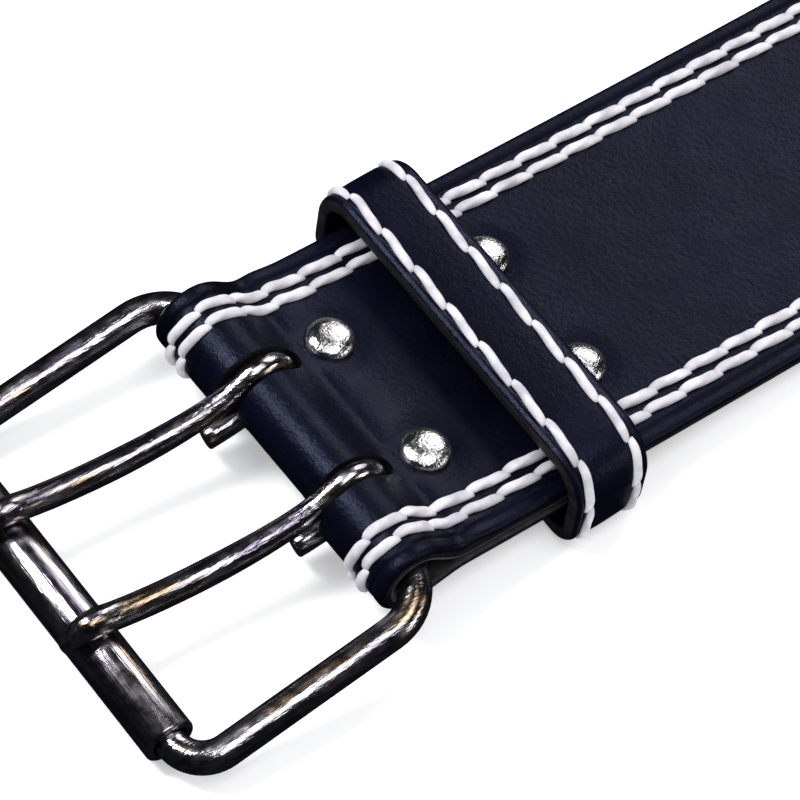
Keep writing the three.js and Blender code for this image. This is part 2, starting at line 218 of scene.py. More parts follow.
def left_normals(points, closed=False):
    normals = []
    count = len(points)
    for i, point in enumerate(points):
        before = points[i - 1] if i or closed else point
        after = points[(i + 1) % count] if i < count - 1 or closed else point
        into = (point - before).normalized()
        out = (after - point).normalized()
        along = (into + out).normalized()
        normals.append(Vector((-along.y, along.x)))
    return normals


def make_object(name, vertices, faces, materials, face_materials=None, sharp=35):
    mesh = bpy.data.meshes.new(name)
    mesh.from_pydata([to_row(v) for v in vertices], [], faces)
    for material in materials:
        mesh.materials.append(material)
    if face_materials:
        mesh.polygons.foreach_set("material_index", face_materials)
    mesh.polygons.foreach_set("use_smooth", [True] * len(faces))
    mesh.set_sharp_from_angle(angle=math.radians(sharp))
    mesh.update()
    obj = bpy.data.objects.new(name, mesh)
    bpy.context.scene.collection.objects.link(obj)
    return obj


def loft(rings, closed_path, capped=True):
    """Vertices and faces of a skin over rings of points, each ring closed on itself."""
    sides = len(rings[0])
    vertices = [point for ring in rings for point in ring]
    faces = []
    count = len(rings)
    for i in range(count if closed_path else count - 1):
        here = i * sides
        there = ((i + 1) % count) * sides
        for j in range(sides):
            k = (j + 1) % sides
            faces.append((here + j, here + k, there + k, there + j))
    if capped and not closed_path:
        faces.append(tuple(reversed(range(sides))))
        faces.append(tuple(range((count - 1) * sides, count * sides)))
    return vertices, faces


# Materials


def new_material(name, color, roughness, metallic=0.0):
    material = bpy.data.materials.new(name)
    material.use_nodes = True
    shader = material.node_tree.nodes["Principled BSDF"]
    shader.inputs["Base Color"].default_value = (*color, 1)
    shader.inputs["Roughness"].default_value = roughness
    shader.inputs["Metallic"].default_value = metallic
    return material, shader


def add_noise(material, scale, detail=4.0, stretch=(1, 1, 1)):
    """A noise texture in the piece's own metres. Scale counts features in a metre."""
    tree = material.node_tree
    place = tree.nodes.new("ShaderNodeTexCoord")
    mapping = tree.nodes.new("ShaderNodeMapping")
    mapping.inputs["Scale"].default_value = stretch
    texture = tree.nodes.new("ShaderNodeTexNoise")
    texture.inputs["Scale"].default_value = scale
    texture.inputs["Detail"].default_value = detail
    tree.links.new(place.outputs["Object"], mapping.inputs["Vector"])
    tree.links.new(mapping.outputs["Vector"], texture.inputs["Vector"])
    return texture.outputs["Fac"]


def add_cells(material, scale):
    tree = material.node_tree
    place = tree.nodes.new("ShaderNodeTexCoord")
    texture = tree.nodes.new("ShaderNodeTexVoronoi")
    texture.feature = "SMOOTH_F1"
    texture.inputs["Scale"].default_value = scale
    tree.links.new(place.outputs["Object"], texture.inputs["Vector"])
    return texture.outputs["Distance"]


def vary_color(material, shader, fac, colors, start=0.3, end=0.7):
    """Colours spread evenly over a texture's values from start to end."""
    tree = material.node_tree
    ramp = tree.nodes.new("ShaderNodeValToRGB")
    stops = ramp.color_ramp.elements
    for share in steps(0, 1, len(colors) - 1)[1:-1]:
        stops.new(start + (end - start) * share)
    stops[0].position = start
    stops[-1].position = end
    for stop, color in zip(stops, colors):
        stop.color = (*color, 1)
    tree.links.new(fac, ramp.inputs["Fac"])
    tree.links.new(ramp.outputs["Color"], shader.inputs["Base Color"])


def vary_roughness(material, shader, fac, low, high):
    tree = material.node_tree
    spread = tree.nodes.new("ShaderNodeMapRange")
    spread.inputs["From Min"].default_value = 0.3
    spread.inputs["From Max"].default_value = 0.7
    spread.inputs["To Min"].default_value = low
    spread.inputs["To Max"].default_value = high
    tree.links.new(fac, spread.inputs["Value"])
    tree.links.new(spread.outputs["Result"], shader.inputs["Roughness"])


def add_bumps(material, shader, layers):
    """Bumps stacked on each other. Each layer is a height, its strength and its depth in millimetres."""
    tree = material.node_tree
    last = None
    for height, strength, depth in layers:
        bump = tree.nodes.new("ShaderNodeBump")
        bump.inputs["Strength"].default_value = strength
        bump.inputs["Distance"].default_value = depth * MM
        tree.links.new(height, bump.inputs["Height"])
        if last:
            tree.links.new(last.outputs["Normal"], bump.inputs["Normal"])
        last = bump
    tree.links.new(last.outputs["Normal"], shader.inputs["Normal"])


def grain_leather():
    material, shader = new_material("leather_grain", (0.01, 0.011, 0.017), 0.45)
    shader.inputs["Specular IOR Level"].default_value = 0.17
    shader.inputs["Specular Tint"].default_value = (0.58, 0.64, 1, 1)
    clouds = add_noise(material, 45)
    vary_color(material, shader, clouds, ((0.0008, 0.001, 0.0036), (0.002, 0.0024, 0.0085)))
    vary_roughness(material, shader, add_noise(material, 160), 0.31, 0.42)
    add_bumps(
        material,
        shader,
        (
            (add_noise(material, 55, 2.0), 0.22, 1.0),
            (add_cells(material, 1150), 0.3, 0.22),
            (add_noise(material, 2600, 3.0), 0.55, 0.13),
        ),
    )
    return material


def flesh_leather():
    material, shader = new_material("leather_flesh", (0.02, 0.019, 0.021), 0.9)
    shader.inputs["Specular IOR Level"].default_value = 0.15
    fibres = add_noise(material, 900, 6.0, (0.45, 1, 1))
    vary_color(material, shader, fibres, ((0.005, 0.005, 0.006), (0.024, 0.022, 0.025)))
    shader.inputs["Sheen Weight"].default_value = 0.12
    add_bumps(material, shader, ((fibres, 0.7, 0.5), (add_noise(material, 2600), 0.5, 0.15)))
    return material


def cut_leather():
    material, shader = new_material("leather_cut_edge", (0.01, 0.01, 0.012), 0.5)
    shader.inputs["Specular IOR Level"].default_value = 0.3
    layers = add_noise(material, 500, 5.0, (0.25, 0.25, 1.6))
    vary_color(material, shader, layers, ((0.003, 0.003, 0.004), (0.013, 0.012, 0.014)))
    vary_roughness(material, shader, add_noise(material, 300), 0.4, 0.7)
    add_bumps(material, shader, ((layers, 0.55, 0.35), (add_noise(material, 2400), 0.4, 0.12)))
    return material


def white_thread():
    material, shader = new_material("thread", (0.8, 0.77, 0.8), 0.65)
    vary_color(material, shader, add_noise(material, 260), ((0.42, 0.4, 0.44), (0.74, 0.71, 0.75)))
    shader.inputs["Sheen Weight"].default_value = 0.2
    add_bumps(material, shader, ((add_noise(material, 3500, 2.0), 0.4, 0.14),))
    return material


def plated_metal(name, colors, roughness, waviness, speckle, stretch=(1, 1, 1)):
    """Plating whose tint drifts, with fine pits and the waves of a tumbled wire."""
    material, shader = new_material(name, colors[0], roughness[0], 1.0)
    vary_color(material, shader, add_noise(material, 420, 2.0, stretch), colors, 0.34, 0.66)
    vary_roughness(material, shader, add_noise(material, 420), *roughness)
    add_bumps(
        material,
        shader,
        (
            (add_noise(material, 190, 2.0, stretch), waviness, 0.8),
            (add_noise(material, 2200, 3.0, stretch), speckle, 0.22),
        ),
    )
    return material


GREY_PLATE = (0.3, 0.28, 0.3)
STRAW_PLATE = (0.38, 0.28, 0.2)
VIOLET_PLATE = (0.25, 0.22, 0.3)
PALE_PLATE = (0.62, 0.6, 0.63)
ALONG_WIRE = (0.14, 1, 1)
ALONG_ROLLER = (1, 0.06, 1)

leather = grain_leather()
flesh = flesh_leather()
cut_edge = cut_leather()
thread = white_thread()
dark_plate = plated_metal(
    "dark_plate",
    (STRAW_PLATE, GREY_PLATE, PALE_PLATE, GREY_PLATE, VIOLET_PLATE),
    (0.12, 0.24),
    0.2,
    0.42,
    ALONG_WIRE,
)
roller_plate = plated_metal(
    "roller_plate", (STRAW_PLATE, PALE_PLATE, GREY_PLATE, VIOLET_PLATE), (0.12, 0.24), 0.16, 0.4, ALONG_ROLLER
)
bright_nickel = plated_metal(
    "bright_nickel", ((0.6, 0.58, 0.58), (0.84, 0.83, 0.84)), (0.12, 0.24), 0.45, 0.5
)


# Strap


def flare_curve():
    """Shares of a flare's length and of its widening, along its curve."""
    ends = Vector((0, 0)), Vector((1, 1))
    return bezier(ends[0], Vector((0.5, 0)), Vector((0.5, 1)), ends[1], 60)


FLARE = flare_curve()


def flare_share(share):
    i = min(len(FLARE) - 1, max(1, bisect_left([p.x for p in FLARE], share)))
    before, after = FLARE[i - 1], FLARE[i]
    return before.y + (after.y - before.y) * (share - before.x) / (after.x - before.x)


def half_width(x):
    """Half the strap's width at x, up to where the tip starts."""
    back_start = FRONT_LENGTH + FLARE_LENGTH
    back_end = back_start + BACK_LENGTH
    if x < FRONT_LENGTH or x > back_end + FLARE_LENGTH:
        return HALF_STRAP
    share = 1.0
    if x < back_start:
        share = flare_share((x - FRONT_LENGTH) / FLARE_LENGTH)
    elif x > back_end:
        share = flare_share((back_end + FLARE_LENGTH - x) / FLARE_LENGTH)
    return HALF_STRAP + (HALF_BACK - HALF_STRAP) * share


def flap_half_width(x):
    """Half the flap's width, which narrows to a rounded end."""
    share = max(0.0, (x - FLAP_LENGTH + FLAP_CORNER_LENGTH) / FLAP_CORNER_LENGTH)
    return HALF_STRAP - FLAP_CORNER_DEPTH * (1 - math.sqrt(max(0.0, 1 - share * share)))


def tip_curve():
    return bezier(
        Vector((tip_start, HALF_STRAP)),
        Vector((tip_start + TIP_SHOULDER, HALF_STRAP)),
        Vector((BAR_TO_TIP, TIP_NOSE)),
        Vector((BAR_TO_TIP, 0)),
        64,
    )


TIP = tip_curve()


def tip_reach(y):
    """Where the tip's outline ends on the line at y."""
    falling = [-p.y for p in TIP]
    i = min(len(TIP) - 1, max(1, bisect_left(falling, -abs(y))))
    before, after = TIP[i - 1], TIP[i]
    if before.y == after.y:
        return before.x
    return before.x + (after.x - before.x) * (before.y - abs(y)) / (before.y - after.y)


def tip_distance(x, y):
    point = Vector((x, abs(y)))
    best = TIP_LENGTH
    for before, after in zip(TIP, TIP[1:]):
        foot, share = geometry.intersect_point_line(point, before, after)
        share = min(1.0, max(0.0, share))
        best = min(best, (point - before.lerp(after, share)).length)
    return best


def fold_line(bulge):
    """The leather's middle round the bar, seen from the side: down from the pinch, round and back to it."""
    centre = Vector((-FOLD_BULGE * bulge, BAR_HEIGHT))
    radius = bar_seat + FOLD_BULGE * bulge + half_leather
    slope = Vector((1, slope_at(pinch))).normalized()
    top_end = Vector((pinch, lift_at(pinch) + half_leather))
    flap_start = Vector((pinch, lift_at(pinch) - GAP - half_leather))
    handle = radius * 0.62
    crest = math.radians(65)
    on_crest = centre + radius * Vector((math.cos(crest), math.sin(crest)))
    over = Vector((-math.sin(crest), math.cos(crest)))
    bottom = centre - Vector((0, radius))
    return (
        blend(top_end, -slope, on_crest, over, handle, 12)[1:]
        + arc(centre, radius, crest, 1.5 * math.pi, 36)[1:]
        + blend(bottom, Vector((1, 0)), flap_start, slope, handle, 8)[1:]
    )


MAIN_X = (
    steps(tip_start, LIFT_END, 134)
    + steps(LIFT_END, 130, 22)[1:]
    + steps(130, pinch, 90)[1:]
)
FLAP_X = steps(pinch, FLAP_LENGTH - FLAP_CORNER_LENGTH, 14)[1:]
FLAP_X += [
    FLAP_LENGTH - FLAP_CORNER_LENGTH * (1 - math.sin(angle))
    for angle in steps(0, math.pi / 2, 16)[1:]
]


def strap_column(y_of_width):
    """One line of the grid, from the tip round the bar to the flap's end: (x, y, z, part of the strap)."""
    y_tip = y_of_width(HALF_STRAP)
    reach = tip_reach(y_tip)
    room = min(1.0, (reach - tip_start) / (3 * EDGE_STEPS[-1]))
    line = [(reach - step * room, y_tip, half_leather, "tip") for step in EDGE_STEPS]
    inner = reach - EDGE_STEPS[-1] * room
    line += [(x, y_tip, half_leather, "tip") for x in steps(inner, tip_start, 6)[1:-1]]
    for x in MAIN_X:
        line.append((x, y_of_width(half_width(x)), lift_at(x) + half_leather, "main"))
    bulge = smooth((abs(y_tip) - PRONG_Y + slot_half) / (2 * slot_half))
    line += [(p.x, y_tip, p.y, "fold") for p in fold_line(bulge)]
    for x in FLAP_X:
        line.append((x, y_of_width(flap_half_width(x)), lift_at(x) - GAP - half_leather, "flap"))
    return line


def slot_distance(x, y):
    """Distance outside the nearer prong slot, seen from above."""
    across = abs(abs(y) - PRONG_Y)
    past = max(0.0, x - (slot_end - slot_half))
    return math.hypot(across, past) - slot_half


def relief(x, y, part, edge):
    """How far the outer face stands above the plain leather."""
    height = -CREASE_DEPTH * hump(edge - CREASE_INSET, CREASE_WIDTH)
    seam_middle = (SEAM_INSETS[0] + SEAM_INSETS[1]) / 2
    height -= SEAM_TROUGH * hump(edge - seam_middle, SEAM_TROUGH_WIDTH)
    height += UNEVEN * noise.noise(Vector((x / 34, y / 19, 0))) * smooth(edge / 4)
    if part in ("main", "fold") and x < 2 * pinch:
        height += SLOT_LIP * hump(slot_distance(x, y) - 0.6, 0.6)
    if part == "main" and x < FLAP_LENGTH:
        for low, high in rivet_boxes.values():
            middle = (low + high) / 2
            away = math.hypot(x - middle.x, y - middle.y) - (high.y - low.y) / 2
            height -= RIVET_DENT * smooth(1 - away / RIVET_DENT_REACH)
    return height


def valley_fill(x):
    """Leather is too stiff for a sharp dip behind the bar, so the dip is partly filled."""
    return VALLEY_FILL * hump(x - pinch - 1, VALLEY_REACH)


def rounding(edge):
    if edge >= EDGE_ROUND:
        return 0.0
    return EDGE_ROUND - math.sqrt(EDGE_ROUND**2 - (EDGE_ROUND - edge) ** 2)


def strap_grid():
    edge_zone = EDGE_STEPS[-1]
    columns = [lambda h, d=d: d - h for d in EDGE_STEPS[:-1]]
    columns += [lambda h, f=f: f * (h - edge_zone) for f in steps(-1, 1, 34)]
    columns += [lambda h, d=d: h - d for d in reversed(EDGE_STEPS[:-1])]
    outer, inner = [], []
    for y_of_width in columns:
        line = strap_column(y_of_width)
        normals = left_normals([Vector((x, z)) for x, _, z, _ in line])
        outer_line, inner_line = [], []
        for (x, y, z, part), normal in zip(line, normals):
            edge = half_width(min(x, tip_start)) - abs(y)
            if part == "tip":
                edge = min(edge, tip_distance(x, y))
            if part == "flap":
                edge = max(0.0, min(flap_half_width(x) - abs(y), FLAP_LENGTH - x))
            out = half_leather - rounding(edge) + relief(x, y, part, edge)
            if part != "flap" and z > BAR_HEIGHT - bar_seat:
                out += valley_fill(x)
            back = half_leather - rounding(edge)
            outer_line.append(Vector((x - normal.x * out, y, z - normal.y * out)))
            inner_line.append(Vector((x + normal.x * back, y, z + normal.y * back)))
        outer.append(outer_line)
        inner.append(inner_line)
    return outer, inner


def build_strap():
    outer, inner = strap_grid()
    columns, rows = len(outer), len(outer[0])
    vertices = [p for line in outer for p in line] + [p for line in inner for p in line]
    under = columns * rows

    def at(column, row):
        return column * rows + row

    faces, kinds = [], []
    for c in range(columns - 1):
        for r in range(rows - 1):
            quad = (at(c, r), at(c + 1, r), at(c + 1, r + 1), at(c, r + 1))
            faces += [quad, tuple(under + v for v in reversed(quad))]
            kinds += [0, 2]
    rim = [at(c, 0) for c in range(columns)]
    rim += [at(columns - 1, r) for r in range(1, rows)]
    rim += [at(c, rows - 1) for c in range(columns - 2, -1, -1)]
    rim += [at(0, r) for r in range(rows - 2, 0, -1)]
    for here, there in zip(rim, rim[1:] + rim[:1]):
        faces.append((there, here, under + here, under + there))
        kinds.append(1)
    return make_object("strap", vertices, faces, [leather, cut_edge, flesh], kinds)


def cutter(name, outline, low, high):
    """An upright prism that cuts the leather."""
    rings = [[Vector((p.x, p.y, z)) for p in outline] for z in (low, high)]
    vertices, faces = loft(rings, False)
    kinds = [1] * len(faces)
    return make_object(name, vertices, faces, [leather, cut_edge, flesh], kinds)


def cut_strap(strap):
    tools = []
    for side in (-1, 1):
        y = side * PRONG_Y
        turn = arc(Vector((slot_end - slot_half, y)), slot_half, -math.pi / 2, math.pi / 2, 16)
        front = -BAR_HEIGHT - LEATHER
        outline = [Vector((front, y - slot_half)), *turn, Vector((front, y + slot_half))]
        tools.append(cutter("slot_tool", outline, -BAR_HEIGHT, 3 * BAR_HEIGHT))
        for i in range(HOLE_PAIRS):
            centre = Vector((BAR_TO_TIP - HOLE_TO_TIP - i * HOLE_PITCH, y))
            outline = arc(centre, HOLE_RADIUS, 0, 2 * math.pi, 32)[:-1]
            tools.append(cutter("hole_tool", outline, -LEATHER, 2 * LEATHER))
    bpy.context.view_layer.update()
    for tool in tools:
        cut = strap.modifiers.new("cut", "BOOLEAN")
        cut.operation = "DIFFERENCE"
        cut.solver = "EXACT"
        cut.object = tool
    shaped = bpy.data.meshes.new_from_object(
        strap.evaluated_get(bpy.context.evaluated_depsgraph_get())
    )
    strap.modifiers.clear()
    strap.data = shaped
    for tool in tools:
        bpy.data.objects.remove(tool)
    shaped.polygons.foreach_set("use_smooth", [True] * len(shaped.polygons))
    shaped.set_sharp_from_angle(angle=math.radians(35))


strap = build_strap()
cut_strap(strap)
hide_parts("belt_body")
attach(strap, "belt")


# Stitches


class Row:
    """A line on the leather that stitches follow: points, the face's normal at each, and the length so far."""

    def __init__(self, points, normals):
        self.points = points
        self.normals = normals
        self.lengths = [0.0]
        for before, after in zip(points, points[1:]):
            self.lengths.append(self.lengths[-1] + (after - before).length)

    def at(self, length):
        i = min(len(self.points) - 1, max(1, bisect_left(self.lengths, length)))
        before, after = self.points[i - 1], self.points[i]
        span = self.lengths[i] - self.lengths[i - 1]
        share = (length - self.lengths[i - 1]) / span
        up = self.normals[i - 1].lerp(self.normals[i], share).normalized()
        return before.lerp(after, share), (after - before).normalized(), up


def plan_edge(inset, from_x):
    """The strap's outline set in by an inset, from the near side round the tip to the far side."""
    xs = steps(from_x, tip_start, 400)
    near = [Vector((x, -half_width(x))) for x in xs]
    tip = [Vector((p.x, -p.y)) for p in TIP[1:-1]] + [Vector((p.x, p.y)) for p in reversed(TIP)]
    far = [Vector((x, half_width(x))) for x in reversed(xs[:-1])]
    outline = near + tip + far
    normals = left_normals(outline)
    return [point + normal * inset for point, normal in zip(outline, normals)]


def outer_row(inset):
    """Along the outer face, from one corner of the flap, round the bar, the tip and back to the other."""
    fold = fold_line(1.0)
    full = [x for x in FLAP_X if x <= FLAP_LENGTH - FLAP_CORNER_LENGTH]
    back = [Vector((x, lift_at(x) - GAP - half_leather)) for x in full]
    side = [Vector((pinch, lift_at(pinch) + half_leather))] + fold + back
    top = 2 * len(fold) // 3
    fills = [valley_fill(p.x) if i < top else 0.0 for i, p in enumerate(side)]
    face = [p - n * (half_leather + f) for p, n, f in zip(side, left_normals(side), fills)]
    ups = [-n for n in left_normals(side)]
    y = HALF_STRAP - inset
    near = [Vector((p.x, -y, p.y)) for p in reversed(face)]
    near_ups = [Vector((n.x, 0, n.y)) for n in reversed(ups)]
    plan = plan_edge(inset, pinch)[1:-1]
    middle = [Vector((p.x, p.y, face_at(p.x) + valley_fill(p.x))) for p in plan]
    middle_ups = [Vector((-slope_at(p.x), 0, 1)).normalized() for p in plan]
    far = [Vector((p.x, y, p.z)) for p in reversed(near)]
    far_ups = list(reversed(near_ups))
    return Row(near + middle + far, near_ups + middle_ups + far_ups)


def back_row(inset):
    """Along the flesh side, where the flap doesn't cover it."""
    plan = plan_edge(inset, FLAP_LENGTH + LEATHER)
    points = [Vector((p.x, p.y, lift_at(p.x))) for p in plan]
    ups = [Vector((slope_at(p.x), 0, -1)).normalized() for p in plan]
    return Row(points, ups)


def stitch(row, start, length, radius, sides, rings, rise):
    """One plump, twisted stitch that dips into the leather at both ends."""
    loops = []
    for share in steps(0, 1, rings):
        point, along, up = row.at(min(row.lengths[-1], start + length * share))
        side = along.cross(up)
        swell = 1 - abs(2 * share - 1) ** 3.4
        centre = point + side * STITCH_SLANT * length * (share - 0.5)
        centre += up * (rise * swell - radius * 0.4 * (1 - swell))
        loop = []
        for j in range(sides):
            angle = 2 * math.pi * j / sides
            ply = 1 + 0.1 * math.cos(THREAD_PLIES * angle - THREAD_TWIST * share)
            reach = radius * (0.66 + 0.34 * swell) * ply
            loop.append(centre + side * math.cos(angle) * reach + up * math.sin(angle) * reach * 0.85)
        loops.append(loop)
    return loft(loops, False)


def sew(name, rows, pitch, radius, sides, rings, rise):
    vertices, faces = [], []
    for row, shift in rows:
        count = round(row.lengths[-1] / pitch - shift)
        step = row.lengths[-1] / (count + shift)
        for i in range(count):
            start = step * (i + shift)
            uneven = noise.noise(Vector((start / 9, row.points[0].y, row.points[0].x)))
            length = step * STITCH_LENGTH_SHARE * (1 + 0.05 * uneven)
            made, skin = stitch(row, start, length, radius * (1 + 0.12 * uneven), sides, rings, rise)
            first = len(vertices)
            vertices += made
            faces += [tuple(first + v for v in face) for face in skin]
    obj = make_object(name, vertices, faces, [thread], sharp=180)
    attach(obj, "belt")
    return obj


outer_rows = [(outer_row(inset), shift) for inset, shift in zip(SEAM_INSETS, (0.1, 0.55))]
back_rows = [(back_row(inset), shift) for inset, shift in zip(SEAM_INSETS, (0.1, 0.55))]
seams = sew("seams_outer_face", outer_rows, STITCH_PITCH, THREAD_RADIUS, 12, 12, 0.32)
back_seams = sew("seams_flesh_side", back_rows, STITCH_PITCH, THREAD_RADIUS, 8, 8, -0.1)


# Keeper


def keeper_outline(out):
    """The loop seen along the belt, in Y and Z, at a distance outside its inner face."""
    side = HALF_STRAP + KEEPER_SIDE_ROOM
    ceiling = keeper_high.z - LEATHER
    foot = Vector((side - KEEPER_FOOT_CORNER, LEATHER + KEEPER_FOOT_CORNER))
    top = Vector((side - KEEPER_TOP_CORNER, ceiling - KEEPER_TOP_CORNER))
    foot_radius = KEEPER_FOOT_CORNER + out
    top_radius = KEEPER_TOP_CORNER + out
    quarter = math.pi / 2
    right = arc(foot, foot_radius, -quarter, 0, 10) + arc(top, top_radius, 0, quarter, 14)
    left = [Vector((-p.x, p.y)) for p in reversed(right)]
    floor = foot.y - foot_radius
    under = [Vector((y, floor)) for y in steps(0, foot.x, 10)[:-1]]
    over = [Vector((y, ceiling + out)) for y in steps(top.x, -top.x, 22)[1:-1]]
    home = [Vector((y, floor)) for y in steps(-foot.x, 0, 10)[1:-1]]
    return under + right + over + left + home


keeper_half_width = (keeper_end - keeper_low.x) / 2
keeper_middle = keeper_end - keeper_half_width


def in_keeper(along, across, height):
    """A point of the leaning, slightly skewed loop, at a distance along the belt from its middle."""
    x = keeper_middle + along + KEEPER_LEAN * height + KEEPER_SKEW * across
    return Vector((x, across, height))


def keeper_section():
    """Across the loop: distance from its middle along X, and height over the leather's middle."""
    half = keeper_half_width
    r = EDGE_ROUND
    section = []
    for corner_x, corner_z, start in (
        (half - r, half_leather - r, 0),
        (r - half, half_leather - r, 90),
        (r - half, r - half_leather, 180),
        (half - r, r - half_leather, 270),
    ):
        section += arc(
            Vector((corner_x, corner_z)), r, math.radians(start), math.radians(start + 90), 5
        )
        if start == 0:
            for x in (half - 1.6, half - 1.9, half - 2.6, half - 4, 2, 0):
                section.append(Vector((x, half_leather)))
            for x in (2, half - 4, half - 2.6, half - 1.9, half - 1.6):
                section.append(Vector((-x, half_leather)))
    crease = half - 1.6
    shaped = []
    for p in section:
        lower = 0.2 * hump(abs(p.x) - crease, 0.25) + 0.16 * hump(abs(p.x) - half + KEEPER_SEAM_INSET, 0.9)
        crown = 0.25 * (1 - (p.x / half) ** 2)
        shaped.append(Vector((p.x, p.y + crown - lower)) if p.y > half_leather - 0.01 else p)
    return shaped


def build_keeper():
    path = keeper_outline(half_leather)
    normals = left_normals(path, closed=True)
    section = keeper_section()
    rings, kinds = [], []
    for point, normal in zip(path, normals):
        places = [point - normal * p.y for p in section]
        rings.append([in_keeper(p.x, place.x, place.y) for p, place in zip(section, places)])
        on_edge = [abs(p.x) > keeper_half_width - EDGE_ROUND * 0.4 for p in section]
        kinds += [int(here and there) for here, there in zip(on_edge, on_edge[1:] + on_edge[:1])]
    vertices, faces = loft(rings, True)
    return make_object("keeper", vertices, faces, [leather, cut_edge], kinds)


def keeper_row(along):
    path = keeper_outline(LEATHER)
    normals = left_normals(path, closed=True)
    path.append(path[0])
    normals.append(normals[0])
    points = [in_keeper(along, p.x, p.y) for p in path]
    return Row(points, [Vector((0, -n.x, -n.y)) for n in normals])


keeper = build_keeper()
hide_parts("keeper_loop")
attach(keeper, "belt")
keeper_rows = [
    (keeper_row(KEEPER_SEAM_INSET - keeper_half_width), 0.0),
    (keeper_row(keeper_half_width - KEEPER_SEAM_INSET), 0.4),
]
keeper_seams = sew("seams_keeper", keeper_rows, KEEPER_STITCH_PITCH, KEEPER_THREAD_RADIUS, 12, 12, 0.3)


# Buckle


def in_buckle(along, across, above):
    """A point of the drooping buckle: along from the bar to the roller, across the belt, above the ring's plane."""
    return Vector(
        (
            -along * math.cos(DROOP) - above * math.sin(DROOP),
            across,
            BAR_HEIGHT - along * math.sin(DROOP) + above * math.cos(DROOP),
        )
    )


def wire_rings(path, normals, radii, sides, place):
    """Rings round a flat path. Place turns a point's two numbers and its height off the plane into space."""
    rings = []
    for point, normal, (wide, high) in zip(path, normals, radii):
        ring = []
        for j in range(sides):
            angle = 2 * math.pi * j / sides
            flat = point + normal * (wide * math.cos(angle))
            ring.append(place(flat, high * math.sin(angle)))
        rings.append(ring)
    return rings


def ring_path():
    half = (ring_high.y - ring_low.y) / 2 - WIRE_RADIUS
    fold = half - FOLD_CORNER
    outer = half - ROLLER_CORNER
    far = FRAME_LENGTH - ROLLER_CORNER
    quarter = math.pi / 2
    corners = (
        (Vector((far, outer)), ROLLER_CORNER, 0),
        (Vector((FOLD_CORNER, fold)), FOLD_CORNER, quarter),
        (Vector((FOLD_CORNER, -fold)), FOLD_CORNER, 2 * quarter),
        (Vector((far, -outer)), ROLLER_CORNER, 3 * quarter),
    )
    path = []
    for centre, radius, start in corners:
        path += arc(centre, radius, start, start + quarter, 14)
    return path


def build_ring():
    path = ring_path()
    normals = left_normals(path, closed=True)
    radii = [(WIRE_RADIUS, WIRE_RADIUS)] * len(path)
    rings = wire_rings(path, normals, radii, 28, lambda p, up: in_buckle(p.x, p.y, up))
    vertices, faces = loft(rings, True)
    return make_object("ring", vertices, faces, [dark_plate], sharp=60)


def build_roller():
    """A rolled sheet of steel with a thin open seam underneath."""
    half = (roller_high.y - roller_low.y) / 2
    soft = 0.35
    seam = math.radians(4)
    seam_at = math.radians(250)
    rings = []
    sections = ((-half, soft), (soft * 0.3 - half, soft * 0.3), (soft - half, 0))
    sections += tuple((-y, inset) for y, inset in reversed(sections))
    for y, inset in sections:
        start, end = seam_at + seam / 2, seam_at + 2 * math.pi - seam / 2
        outside = arc(Vector((0, 0)), roller_radius - inset, start, end, 72)
        inside = arc(Vector((0, 0)), roller_radius - ROLLER_WALL + inset * 0.5, end, start, 72)
        ring = [in_buckle(FRAME_LENGTH + p.x, y, p.y) for p in outside + inside]
        rings.append(ring)
    vertices, faces = loft(rings, False)
    return make_object("rolled_sleeve", vertices, faces, [roller_plate], sharp=40)


def prong_path():
    """Side view of a prong: distance from the bar, height over the ring's plane, and the wire's radii."""
    roller_centre = Vector((FRAME_LENGTH / math.cos(PRONG_LEAN), 0))
    over, radii = [], []
    for share in steps(0, 1, 16):
        full = smooth(share * 1.3)
        wide = PRONG_TIP_HALF_WIDTH + (PRONG_RADIUS - PRONG_TIP_HALF_WIDTH) * full
        high = PRONG_TIP_HALF_HEIGHT + (PRONG_RADIUS - PRONG_TIP_HALF_HEIGHT) * full
        angle = math.radians(PRONG_TIP_ANGLE + (ROLLER_LEAVE_ANGLE - PRONG_TIP_ANGLE) * share)
        out = Vector((math.cos(angle), math.sin(angle)))
        over.append(roller_centre + out * (roller_radius + GAP + high))
        radii.append((high, wide))
    eye_radius = bar_seat + PRONG_EYE_RADIUS
    meet = math.radians(EYE_MEET_ANGLE)
    eye = arc(Vector((0, 0)), eye_radius, meet, 1.5 * math.pi, 36)
    leave = math.radians(ROLLER_LEAVE_ANGLE)
    shaft = blend(
        over[-1],
        Vector((-math.sin(leave), math.cos(leave))),
        eye[0],
        Vector((-math.sin(meet), math.cos(meet))),
        PRONG_HANDLE,
        28,
    )
    tail = [Vector((x, -eye_radius)) for x in steps(0, PRONG_TAIL, 6)[1:]]
    path = over + shaft[1:-1] + eye + tail
    for i in range(len(over), len(path)):
        if i < len(over) + len(shaft) - 2:
            share = smooth((i - len(over)) / (len(shaft) - 2) * 1.6 - 0.6)
            size = PRONG_RADIUS + (PRONG_EYE_RADIUS - PRONG_RADIUS) * share
            radii.append((size, size))
        else:
            radii.append((PRONG_EYE_RADIUS, PRONG_EYE_RADIUS))
    return path, radii


def rounded_start(path, normals, radii):
    """Three smaller rings before the first one, so that the tip is a rounded nose."""
    along = Vector((normals[0].y, -normals[0].x))
    for share in (0.35, 0.68, 0.9):
        reach = radii[0][0] * 0.8 * math.sqrt(1 - share * share)
        yield path[0] - along * reach, normals[0], (radii[0][0] * share, radii[0][1] * share)


